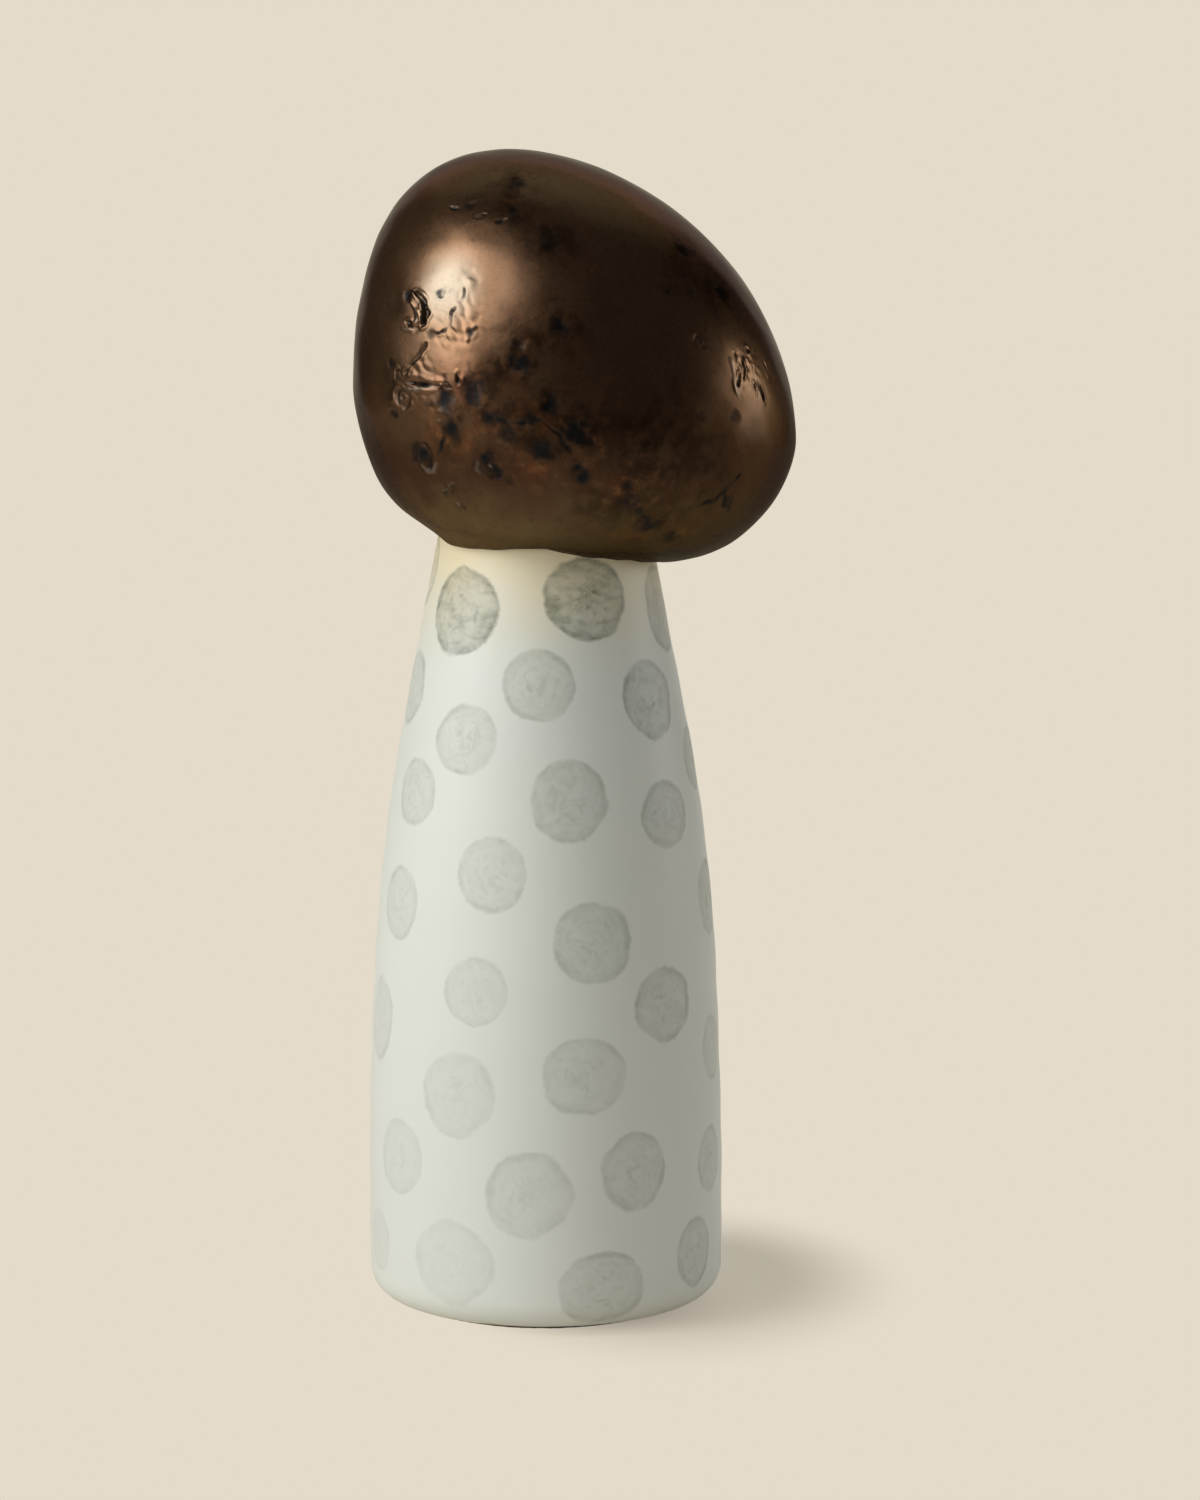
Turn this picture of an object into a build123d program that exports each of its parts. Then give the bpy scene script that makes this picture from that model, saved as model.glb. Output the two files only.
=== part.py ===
"""Ceramic mushroom ornament: a thrown stem and a loose, lopsided cap that drops over its neck.

Millimetres, +Z up. The origin is on the stem's axis, at the surface that the ornament stands on.
The cap leans to +X and is even about the XZ plane.
"""

import os
from math import cos, radians, sin, tan

from build123d import *

# Felt under the stem
felt_thickness = 1.5
felt_radius = 33.0

# Stem: a closed, hollow stoneware form, upright at the foot and drawn in to a straight neck
wall = 5.0
belly_radius = 43.2
foot_round = 7.5
side_top = 25.0
belly_arc_radius = 1100.0
belly_turn = 3.1
shoulder_arc_radius = 430.0
shoulder_turn = 7.7
neck_top = 205.0
neck_edge_round = 1.5
vent_radius = 1.5

# Cork ring that lies on the stem's top and carries the cap
ring_thickness = 2.0
ring_outer_radius = 20.0
ring_inner_radius = 12.0
ring_edge_chamfer = 0.3

# Cap: a hollow stoneware bulb whose mouth lies in a plane that dips to +X
mouth_height = 185.8
mouth_tilt = 7.0
mouth_clearance = 0.5
lip_width = 1.6
lip_round = 0.8
cap_half_width = 53.5
cap_half_depth = 51.4
widest_height = 32.3
crown_height = 93.1
underside_fullness = 1.8
crown_fullness = 2.1
belly_shift = 4.5
lean_start = 10.0
crown_lean = 18.0

# Where the stem's straight neck starts, from its two arcs
neck_turn = belly_turn + shoulder_turn
neck_start_height = (
    side_top
    + belly_arc_radius * sin(radians(belly_turn))
    + shoulder_arc_radius * (sin(radians(neck_turn)) - sin(radians(belly_turn)))
)
neck_start_radius = (
    belly_radius
    - belly_arc_radius * (1 - cos(radians(belly_turn)))
    - shoulder_arc_radius * (cos(radians(belly_turn)) - cos(radians(neck_turn)))
)
socket_ceiling = neck_top + ring_thickness
mouth_plane = Plane.XY.offset(mouth_height).rotated((0, mouth_tilt, 0))


def neck_radius(height):
    """Outer radius of the stem's straight neck at a height."""
    return neck_start_radius - (height - neck_start_height) * tan(radians(neck_turn))


def stem_profile(inset):
    """Half section of the stem, every side moved in by inset."""
    with BuildSketch(Plane.XZ) as profile:
        with BuildLine():
            floor_height = felt_thickness + inset
            top_height = neck_top - inset
            base = Line((0, floor_height), (belly_radius - foot_round, floor_height))
            foot = JernArc(base @ 1, (1, 0), foot_round - inset, 90)
            side = Line(foot @ 1, (belly_radius - inset, side_top))
            belly = JernArc(side @ 1, (0, 1), belly_arc_radius - inset, belly_turn)
            shoulder = JernArc(belly @ 1, belly % 1, shoulder_arc_radius - inset, shoulder_turn)
            neck_rise = top_height - (shoulder @ 1).Y
            neck_end = ((shoulder @ 1).X - neck_rise * tan(radians(neck_turn)), top_height)
            Line(shoulder @ 1, neck_end)
            Polyline(neck_end, (0, top_height), (0, floor_height))
        make_face()
    return profile.sketch


def cap_centre(height):
    """How far the cap's centre line is from the stem's axis, at a height above the mouth."""
    return belly_shift - crown_lean * ((height - lean_start) / (crown_height - lean_start)) ** 2


def cap_section(height, centre, half_width, half_depth):
    """Ellipse that the cap's skin passes through, parallel to the mouth."""
    with BuildSketch(mouth_plane.offset(height)) as section:
        with Locations((centre, 0)):
            Ellipse(half_width, half_depth)
    return section.sketch


def cap_bulb(inset):
    """Solid inside the cap's skin, the skin moved in by inset, as a loft of leaning ellipses."""
    mouth_radius = neck_radius(mouth_height) + mouth_clearance + lip_width + inset
    width_swell = cap_half_width - inset - mouth_radius
    depth_swell = cap_half_depth - inset - mouth_radius
    top = crown_height - inset
    sections = []

    # The underside leaves the mouth level with its plane and turns up to the widest place
    for angle in (90, 65, 40, 20):
        outward = cos(radians(angle)) ** (2 / underside_fullness)
        drop = sin(radians(angle)) ** (2 / underside_fullness)
        height = widest_height - (widest_height - inset) * drop
        centre = cap_centre(height) * outward**0.5
        half_width = mouth_radius + width_swell * outward
        half_depth = mouth_radius + depth_swell * outward
        sections.append(cap_section(height, centre, half_width, half_depth))

    # The crown closes over to one point, and its sections lean back as they rise
    for angle in (0, 20, 40, 58, 72, 82):
        outward = cos(radians(angle)) ** (2 / crown_fullness)
        lift = sin(radians(angle)) ** (2 / crown_fullness)
        height = widest_height + (top - widest_height) * lift
        half_width = (cap_half_width - inset) * outward
        half_depth = (cap_half_depth - inset) * outward
        sections.append(cap_section(height, cap_centre(height), half_width, half_depth))
    pole = mouth_plane.from_local_coords((cap_centre(top), 0, top))

    with BuildPart() as bulb:
        loft(sections=[*sections, Vertex(pole)])
    return bulb.part


def neck_cone(margin, bottom, top):
    """Cone that follows the stem's neck at an even margin, between two heights."""
    with BuildPart(Plane.XY.offset(bottom)) as cone:
        Cone(
            neck_radius(bottom) + margin,
            neck_radius(top) + margin,
            top - bottom,
            align=(Align.CENTER, Align.CENTER, Align.MIN),
        )
    return cone.part


os.makedirs("parts", exist_ok=True)

# Felt disc stuck under the stem's flat base
with BuildPart() as base_felt:
    Cylinder(felt_radius, felt_thickness, align=(Align.CENTER, Align.CENTER, Align.MIN))
base_felt.part.label = "base_felt"

# Stem, closed at both ends, with a pin vent in its top
with BuildPart() as stem:
    revolve(stem_profile(0), axis=Axis.Z)
    revolve(stem_profile(wall), axis=Axis.Z, mode=Mode.SUBTRACT)
    fillet(stem.faces().sort_by(Axis.Z)[-1].edges(), neck_edge_round)
    with Locations((0, 0, neck_top)):
        Hole(vent_radius, 2 * wall)
stem.part.label = "stem"

# Cork ring between the stem's top and the cap's socket
with BuildPart(Plane.XY.offset(neck_top)) as seat_ring:
    Cylinder(ring_outer_radius, ring_thickness, align=(Align.CENTER, Align.CENTER, Align.MIN))
    Hole(ring_inner_radius)
    chamfer(seat_ring.edges().filter_by(GeomType.CIRCLE), ring_edge_chamfer)
seat_ring.part.label = "seat_ring"

# Cap, hollow round a socket that stands up inside it, with a pin vent in the socket's ceiling
below_mouth = mouth_height - 2 * wall
with BuildPart() as cavity:
    add(cap_bulb(wall))
    add(neck_cone(mouth_clearance + wall, below_mouth, socket_ceiling + wall), mode=Mode.SUBTRACT)

with BuildPart() as cap:
    add(cap_bulb(0))
    add(cavity.part, mode=Mode.SUBTRACT)
    add(neck_cone(mouth_clearance, below_mouth, socket_ceiling), mode=Mode.SUBTRACT)
    lip = cap.faces().filter_by(mouth_plane).sort_by(Axis.Z)[0]
    fillet(lip.inner_wires()[0].edges(), lip_round)
    with Locations((0, 0, socket_ceiling + wall)):
        Hole(vent_radius, 2 * wall)
cap.part.label = "cap"

for piece in (base_felt, stem, seat_ring, cap):
    export_step(piece.part, f"parts/{piece.part.label}.step")
    box = piece.part.bounding_box()
    print(piece.part.label, "volume", round(piece.part.volume), "from", box.min, "to", box.max)
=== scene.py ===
import math
from functools import partial

import bpy
import numpy as np
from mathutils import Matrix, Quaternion, Vector
from mathutils.bvhtree import BVHTree


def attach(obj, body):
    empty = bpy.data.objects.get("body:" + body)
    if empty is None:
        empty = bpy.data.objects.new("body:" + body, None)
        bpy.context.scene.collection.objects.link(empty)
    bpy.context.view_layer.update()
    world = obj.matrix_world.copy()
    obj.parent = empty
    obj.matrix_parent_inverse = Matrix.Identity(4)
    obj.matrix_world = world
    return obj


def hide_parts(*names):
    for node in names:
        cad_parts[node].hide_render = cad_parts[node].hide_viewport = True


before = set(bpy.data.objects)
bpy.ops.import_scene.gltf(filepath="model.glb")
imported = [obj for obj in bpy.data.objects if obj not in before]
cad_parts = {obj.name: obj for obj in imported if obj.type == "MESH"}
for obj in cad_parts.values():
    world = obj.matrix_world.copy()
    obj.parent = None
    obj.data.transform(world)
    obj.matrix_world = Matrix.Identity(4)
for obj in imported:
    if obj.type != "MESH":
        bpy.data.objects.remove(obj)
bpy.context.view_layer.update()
scene = bpy.context.scene
mm = 0.001
fullTurn = 2 * math.pi


def hexColour(code):
    parts = [int(code[i:i + 2], 16) / 255 for i in (1, 3, 5)]
    linear = [c / 12.92 if c <= 0.04045 else ((c + 0.055) / 1.055) ** 2.4 for c in parts]
    return (*linear, 1.0)


# fills or links a node's inputs, in the order of its sockets or by name or number
def fillInputs(node, inputs):
    for socket, value in inputs.items() if isinstance(inputs, dict) else enumerate(inputs):
        if isinstance(value, bpy.types.NodeSocket):
            node.id_data.links.new(value, node.inputs[socket])
        else:
            node.inputs[socket].default_value = value


# adds a node with its settings and links, and gives back one of its outputs
def addNode(tree, kind, inputs, out=0, **settings):
    new = tree.nodes.new("ShaderNode" + kind)
    for name, value in settings.items():
        setattr(new, name, value)
    fillInputs(new, inputs)
    return new.outputs[out]


# settings that recur: the colour side of a Mix node, and a soft MapRange
asColour = {"out": 2, "data_type": "RGBA"}
smooth = {"interpolation_type": "SMOOTHSTEP"}


def startMaterial(name):
    made = bpy.data.materials.new(name)
    made.use_nodes = True
    add = partial(addNode, made.node_tree)
    return made, add, made.node_tree.nodes["Principled BSDF"], add("TexCoord", {}, out="Object")


def goTo(mode):
    bpy.ops.object.mode_set(mode=mode)


# draws an outline of (radius, height) in mm point by point, then spins it round the stem's axis
def spinOutline(name, outline, steps):
    bpy.ops.object.select_all(action="DESELECT")
    bpy.ops.mesh.primitive_plane_add(size=1)
    piece = bpy.context.object
    piece.name = name
    piece.data.name = name
    goTo("EDIT")
    bpy.ops.mesh.select_all(action="SELECT")
    bpy.ops.mesh.merge(type="CENTER")
    here = Vector((0, 0, 0))
    for number, (out, up) in enumerate(outline):
        step = Vector((out * mm, 0, up * mm)) - here
        if number == 0:
            bpy.ops.transform.translate(value=step)
        else:
            bpy.ops.mesh.extrude_vertices_move(TRANSFORM_OT_translate={"value": step})
        here += step
    bpy.ops.mesh.select_all(action="SELECT")
    bpy.ops.mesh.spin(steps=steps, angle=fullTurn, center=(0, 0, 0), axis=(0, 0, 1))
    bpy.ops.mesh.select_all(action="SELECT")
    bpy.ops.mesh.remove_doubles(threshold=1e-6)
    bpy.ops.mesh.normals_make_consistent(inside=False)
    goTo("OBJECT")
    return piece


# one measure of all points or faces, three numbers each
def readAll(items, measure):
    flat = np.empty(len(items) * 3)
    items.foreach_get(measure, flat)
    return flat.reshape(-1, 3)


def setPoints(mesh, points):
    mesh.vertices.foreach_set("co", np.asarray(points, float).ravel())
    mesh.update()


def addValues(mesh, name, values, domain="POINT"):
    layer = mesh.attributes.new(name, "FLOAT", domain)
    layer.data.foreach_set("value", values)


def smoothStep(low, high, value):
    part = np.clip((value - low) / (high - low), 0, 1)
    return part * part * (3 - 2 * part)


def bell(value, width):
    return np.exp(-(value / width) ** 2)


# the same angle between minus and plus half a turn
def wrapTurn(turn):
    return (turn + math.pi) % fullTurn - math.pi


# slow waves in six directions, about -1 to 1, one wave to each length in mm
def softWaves(points, length, start):
    total = np.zeros(len(points))
    for turn in range(6):
        tilt = start + 2.4 * turn
        way = np.array((math.cos(tilt), math.sin(1.7 * tilt), math.sin(tilt + 0.6)))
        total += np.sin(points @ (way / np.linalg.norm(way)) * fullTurn / length + 1.9 * tilt)
    return total / 3.5


# camera, as the photo was taken
cameraSet = {"place": (0.0133, -1.0, 0.258), "tilt": 83.02, "lens": 99.4}
bpy.ops.object.select_all(action="DESELECT")
bpy.ops.object.camera_add(location=cameraSet["place"], rotation=(math.radians(cameraSet["tilt"]), 0, 0))
camera = bpy.context.object
camera.data.lens = cameraSet["lens"]
scene.camera = camera
scene.view_settings.view_transform = "Standard"


# first place where a line through (x, z) on the XZ plane meets a piece, seen from the camera or from behind
def findPlace(tree, x, z, behind=False):
    eye = Vector(cameraSet["place"])
    if behind:
        eye.y = -eye.y
    way = Vector((x * mm, 0, z * mm)) - eye
    hit = tree.ray_cast(eye, way.normalized())[0]
    return None if hit is None else np.array(hit) / mm


# stem: thrown stoneware, closed top and bottom
stemSet = {
    "bellyRadius": 43.2,
    "footRound": 7.5,
    "base": 1.5,
    "sideTop": 25.0,
    "bellyArc": (1100.0, 3.1),  # radius and degrees
    "shoulderArc": (430.0, 7.7),
    "neckStart": (34.6, 141.8),  # radius and height where the straight neck begins
    "neckTop": 205.0,
    "edgeRound": 1.5,
    "edgeLean": 0.2,  # the neck's slope goes on over its rounded edge
    "ventRadius": 1.5,
    "ventEdge": 0.3,
    "ventDepth": 6.0,
    "steps": 176,
    "ringGap": 1.9,
    "wallFrom": 20.0,  # anything nearer the axis is the top or the base
    "waver": 0.11,
    "waverLength": 46,
    "ribGap": 17,
    "footFade": ((30, 40), (1.5, 6)),  # radius and height over which the waver comes in at the foot
    "wallFade": ((25, 60), (183, 165)),  # heights over which it comes in, and goes out below the lip
}
neckSlope = math.tan(math.radians(stemSet["bellyArc"][1] + stemSet["shoulderArc"][1]))


def neckRadius(height):
    radius, start = stemSet["neckStart"]
    return radius - (height - start) * neckSlope


def stemOutline():
    s = stemSet
    line = [(0, s["base"])]

    def drawTo(out, up, rows):
        lastOut, lastUp = line[-1]
        for k in range(1, rows + 1):
            line.append((lastOut + (out - lastOut) * k / rows, lastUp + (up - lastUp) * k / rows))

    flat = s["bellyRadius"] - s["footRound"]
    drawTo(flat, s["base"], 6)
    for k in range(1, 11):
        turn = math.radians(9 * k)
        line.append((
            flat + s["footRound"] * math.sin(turn),
            s["base"] + s["footRound"] * (1 - math.cos(turn)),
        ))
    drawTo(s["bellyRadius"], s["sideTop"], round((s["sideTop"] - line[-1][1]) / s["ringGap"]))
    lean = 0.0
    for radius, turn in (s["bellyArc"], s["shoulderArc"]):
        rows = round(math.radians(turn) * radius / s["ringGap"])
        out, up = line[-1]
        first = math.radians(lean)
        for k in range(1, rows + 1):
            now = math.radians(lean + turn * k / rows)
            line.append((
                out - radius * (math.cos(first) - math.cos(now)),
                up + radius * (math.sin(now) - math.sin(first)),
            ))
        lean += turn
    out, up = line[-1]
    neckEnd = s["neckTop"] - s["edgeRound"]
    drawTo(out - neckSlope * (neckEnd - up), neckEnd, round((neckEnd - up) / s["ringGap"]))
    out, up = line[-1]
    for k in range(1, 6):
        turn = math.radians(18 * k)
        inwards = 1 - math.cos(turn) + s["edgeLean"] * k / 5
        line.append((out - s["edgeRound"] * inwards, up + s["edgeRound"] * math.sin(turn)))
    up = line[-1][1]
    drawTo(s["ventRadius"], up, 8)
    ventEnd = up - s["ventDepth"]
    return line + [(s["ventRadius"], up - s["ventEdge"]), (s["ventRadius"], ventEnd), (0, ventEnd)]


stem = spinOutline("Stem", stemOutline(), stemSet["steps"])
stemTree = BVHTree.FromObject(stem, bpy.context.evaluated_depsgraph_get())

# brushed dots seen from the front: x, z on the XZ plane, width, height, strength
frontDots = [
    (-20.4, 169.2, 21.7, 21.6, 0.95), (10, 172.5, 21.5, 20.3, 1.0), (28, 170, 17, 22, 0.75),
    (-32, 151, 16, 18.3, 0.55), (-1.6, 151.2, 18, 17.5, 0.55), (25.6, 148, 17.8, 19.2, 0.8),
    (-19.6, 138, 18.4, 16.8, 0.5), (-31.5, 125.4, 15.8, 16.5, 0.45), (6, 122.8, 19.5, 19.6, 0.6),
    (29.6, 120, 17.4, 16.6, 0.65), (-13.3, 104.6, 17.4, 18.5, 0.4), (-35.8, 98, 16, 18.5, 0.4),
    (39.7, 99.5, 16, 19, 0.55), (11.6, 88, 20.3, 20, 0.55),
    (-17.5, 76, 17.1, 17.1, 0.33), (29.2, 72.7, 19.4, 18.5, 0.6), (-40.3, 69.6, 14, 21.5, 0.35),
    (40.8, 62.2, 13, 16.5, 0.4), (-22.1, 50.2, 19.8, 20.7, 0.3), (9.9, 54.5, 21.5, 18.9, 0.42),
    (-36, 34.8, 17.1, 19.2, 0.3), (-4.5, 24.9, 21.8, 21.4, 0.36), (22.1, 30.7, 18, 19.9, 0.5),
    (40.2, 34.4, 13.5, 17, 0.45), (-23.4, 7.8, 23.2, 21, 0.22), (14.1, 1.5, 22.7, 18.5, 0.5),
    (36.8, 11, 15, 18, 0.55), (-41.1, 14, 13, 16, 0.22),
]
# and the ones round the back: degrees from the front, turning to +X, then height, width, height, strength
backDots = [
    (273, 180, 16, 18, 0.6), (80, 134.5, 15, 16, 0.6), (112, 168, 18, 19, 0.85), (168, 171, 19, 20, 0.95),
    (228, 166, 17, 19, 0.8), (140, 147, 17, 18, 0.7), (198, 149, 18, 17, 0.75), (246, 145, 16, 18, 0.65),
    (104, 124, 17, 17, 0.65), (160, 126, 18, 18, 0.6), (217, 122, 17, 18, 0.6), (128, 102, 18, 18, 0.55),
    (186, 104, 17, 18, 0.5), (241, 99, 18, 17, 0.5), (104, 79, 17, 18, 0.55), (157, 81, 19, 18, 0.45),
    (211, 78, 18, 18, 0.45), (256, 80, 16, 17, 0.45), (130, 57, 18, 19, 0.45), (183, 58, 19, 19, 0.4),
    (235, 55, 18, 18, 0.4), (101, 35, 17, 18, 0.5), (157, 36, 19, 19, 0.4), (209, 34, 18, 18, 0.35),
    (259, 37, 17, 18, 0.35), (92, 13, 17, 17, 0.45), (131, 15, 19, 18, 0.4), (184, 12, 20, 19, 0.35),
    (235, 15, 19, 18, 0.3),
]


# each face gets the place of its corners from the middle of its nearest dot, counted in dot radii
def layDots():
    spots = []
    for x, z, width, high, strength in frontDots:
        hit = findPlace(stemTree, x, z)
        spots.append((math.atan2(hit[0], -hit[1]), hit[2], width / 2, high / 2, strength))
    for angle, height, width, high, strength in backDots:
        spots.append((math.radians(angle), height, width / 2, high / 2, strength))
    spots = np.array(spots)
    mesh = stem.data
    points = readAll(mesh.vertices, "co") / mm
    middles = readAll(mesh.polygons, "center") / mm
    corners = np.empty(len(mesh.loops), np.int32)
    mesh.loops.foreach_get("vertex_index", corners)
    sizes = np.empty(len(mesh.polygons), np.int32)
    mesh.polygons.foreach_get("loop_total", sizes)

    def fromSpots(place, which):
        radius = np.maximum(np.hypot(place[:, 0], place[:, 1]), stemSet["wallFrom"])
        turn = wrapTurn(np.arctan2(place[:, 0], -place[:, 1]) - spots[which, 0])
        return turn * radius / spots[which, 2], (place[:, 2] - spots[which, 1]) / spots[which, 3]

    best = np.full(len(middles), np.inf)
    nearest = np.zeros(len(middles), np.int32)
    for number in range(len(spots)):
        u, v = fromSpots(middles, number)
        away = np.hypot(u, v)
        closer = away < best
        best[closer] = away[closer]
        nearest[closer] = number
    u, v = fromSpots(points[corners], np.repeat(nearest, sizes))
    layer = mesh.uv_layers.new(name="dots")
    layer.data.foreach_set("uv", np.stack((u, v), 1).ravel())
    addValues(mesh, "dotStrength", spots[nearest, 4], "FACE")
    addValues(mesh, "dotSeed", (nearest * 3.7) % 23.0, "FACE")  # another part of the brush noise for each dot


layDots()

# a hand-thrown wall is never quite round or straight, but the foot and the neck in the socket stay true
points = readAll(stem.data.vertices, "co") / mm
radius = np.hypot(points[:, 0], points[:, 1])
height = points[:, 2]
footOut, footUp = stemSet["footFade"]
wallUp, neckUp = stemSet["wallFade"]
side = smoothStep(*footOut, radius) * smoothStep(*footUp, height)
side = np.maximum(side, smoothStep(*wallUp, height) * smoothStep(*neckUp, height))
side *= radius > stemSet["wallFrom"]
ribs = np.sin(height * fullTurn / stemSet["ribGap"] + 1)
waver = stemSet["waver"] * (softWaves(points, stemSet["waverLength"], 0.4) + 0.6 * ribs)
points[:, :2] *= (1 + side * waver / np.maximum(radius, 1))[:, None]
setPoints(stem.data, points * mm)
bpy.ops.object.shade_smooth_by_angle(angle=math.radians(40))
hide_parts("stem")
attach(stem, "stem_body")
print("stem", len(stem.data.polygons), "faces,", len(frontDots) + len(backDots), "dots")

# cap: a lopsided bulb with plant sprigs pressed into it
capSet = {
    "mouthHeight": 185.8,
    "mouthTilt": 7.0,
    "clearance": 0.5,
    "lipWidth": 1.6,
    "halfWidth": 53.5,
    "halfDepth": 51.4,
    "widestHeight": 32.3,
    "crownHeight": 93.1,
    "undersideFullness": 1.8,
    "crownFullness": 2.1,
    "bellyShift": 4.5,
    "leanStart": 10.0,
    "crownLean": 18.0,
    "ceiling": 207.0,
    "ventRadius": 1.5,
    "ventEdge": 0.3,
    "ventDepth": 5.0,
    "cutAngle": 45.0,
    "steps": 208,
    "rows": 116,
    "lipRound": ((0.2, -0.18), (0.45, -0.22), (0.7, -0.08), (0.88, 0.15)),  # share of its width, mm up
    "socketStart": (0.6, 1.6),
    "socketRows": (0.25, 0.5, 0.75, 0.97, 1),
    "ceilingRows": (0.02, 0.3, 0.65, 1),
    "riseFrom": 0.75,  # share of the bulge where the underside's rise begins, then the lip's waves
    "waveFrom": 0.3,
    "undersideRise": 0.2,
    "leftRise": (2.3, 0.45),  # mm, and its reach round the mouth
    "lipBends": ((-2.4, -2.2, 0.32, 0.5), (-1.62, 1.0, 0.28, 0.28)),  # angle, mm, reach before and after it
    "lipRipples": ((0.15, 5, 1.0), (0.12, 9, 2.4), (0.08, 23, 0.0)),  # mm, count, start
    "finerWithin": (2.6, 1.5),  # mm round a mark that each round of finer faces covers
    "unevenness": 0.2,
    "unevenWaves": ((34, 1.3, 1), (13, 2.2, 0.3), (7.5, 0.9, 0.17)),  # length, start, share
}
mouthRadius = neckRadius(capSet["mouthHeight"]) + capSet["clearance"] + capSet["lipWidth"]


# how far the underside stands above its plane, by the angle round the mouth: it is drawn up at the left
def undersideRise(around):
    rise, reach = capSet["leftRise"]
    return capSet["undersideRise"] + rise * bell(wrapTurn(around - math.pi), reach)


# and the hand-cut lip above that: a corner at the left front, a rise beside it, and small ripples
def lipWave(around):
    wave = sum(size * np.sin(count * around + start) for size, count, start in capSet["lipRipples"])
    for turn, lift, before, after in capSet["lipBends"]:
        away = wrapTurn(around - turn)
        wave = wave + lift * bell(away, np.where(away < 0, before, after))
    return wave


# unit directions to places on the cap's skin, mm in the row frame
def bulbPlaces(ways):
    c = capSet
    angle = np.degrees(np.arcsin(np.clip(ways[:, 2], -1, 1)))
    around = np.arctan2(ways[:, 1], ways[:, 0])
    below = angle < 0
    turn = np.radians(np.where(below, np.minimum(-angle * 90 / c["cutAngle"], 90), angle))
    power = 2 / np.where(below, c["undersideFullness"], c["crownFullness"])
    outward = np.maximum(np.cos(turn), 0) ** power
    lift = np.maximum(np.sin(turn), 0) ** power
    span = np.where(below, -c["widestHeight"], c["crownHeight"] - c["widestHeight"])
    height = c["widestHeight"] + lift * span
    leaning = (height - c["leanStart"]) / (c["crownHeight"] - c["leanStart"])
    centre = c["bellyShift"] - c["crownLean"] * leaning ** 2
    centre = np.where(below, centre * np.sqrt(outward), centre)
    least = np.where(below, mouthRadius, 0)
    wide = least + (c["halfWidth"] - least) * outward
    deep = least + (c["halfDepth"] - least) * outward
    height = height + below * smoothStep(c["riseFrom"], 0, outward) * undersideRise(around)
    height = height + below * smoothStep(c["waveFrom"], 0, outward) * lipWave(around)
    across = centre + wide * np.cos(around)
    tilt = math.radians(c["mouthTilt"])
    return np.stack((
        across * math.cos(tilt) + height * math.sin(tilt),
        deep * np.sin(around),
        c["mouthHeight"] - across * math.sin(tilt) + height * math.cos(tilt),
    ), 1)


rows = capSet["rows"]
arc = [math.radians((90 + capSet["cutAngle"]) * k / rows - capSet["cutAngle"]) for k in range(rows)]
ballOutline = [(math.cos(a) / mm, math.sin(a) / mm) for a in arc] + [(0, 1 / mm)]
cap = spinOutline("Cap", ballOutline, capSet["steps"])
faces = [tuple(p.vertices) for p in cap.data.polygons]
skin = bulbPlaces(readAll(cap.data.vertices, "co"))
capTree = BVHTree.FromPolygons([Vector(p * mm) for p in skin], faces)

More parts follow.
